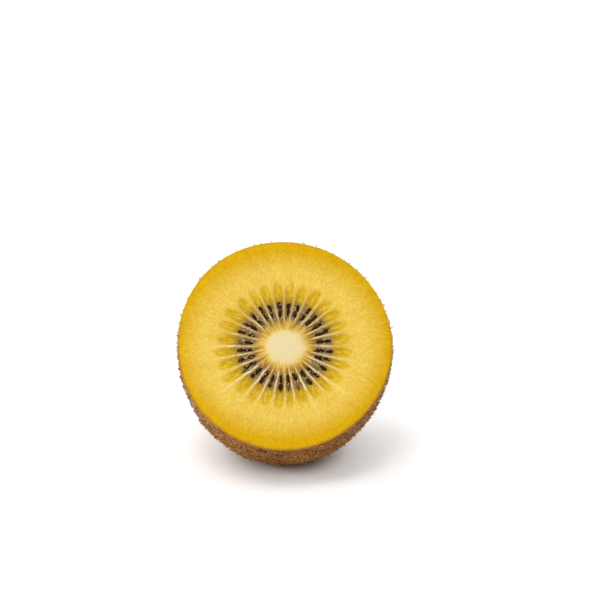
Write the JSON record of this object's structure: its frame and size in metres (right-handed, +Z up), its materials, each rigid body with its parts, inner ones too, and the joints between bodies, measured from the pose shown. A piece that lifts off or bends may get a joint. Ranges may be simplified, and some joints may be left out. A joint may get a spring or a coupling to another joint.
{
  "type": "halved golden kiwi fruit",
  "caption": "Half of a golden kiwi fruit, cut across: fuzzy brown skin, dried stem end, and a leaning yellow face with a pale core, rays and a ring of dark seeds.",
  "frame": {"origin": "middle of the small flat spot of skin that the half stands on", "axes": "+Z up from the surface it stands on, -Y the way the cut face looks, with that face leaning back 45 degrees, +X to the right as the cut face is seen"},
  "size_m": [0.0509, 0.0498, 0.0488],
  "materials": {
    "flesh": "moist yellow fruit flesh with a pale cream core and pale rays",
    "skin": "matt brown fruit skin with fine dimples and freckles",
    "fuzz": "short stiff brown hairs",
    "seed": "wet black seed coat",
    "stem_end": "dry crumbly bark and sepals"
  },
  "bodies": {
    "root": {"golden_kiwi_half": "flesh"}
  },
  "joints": []
}
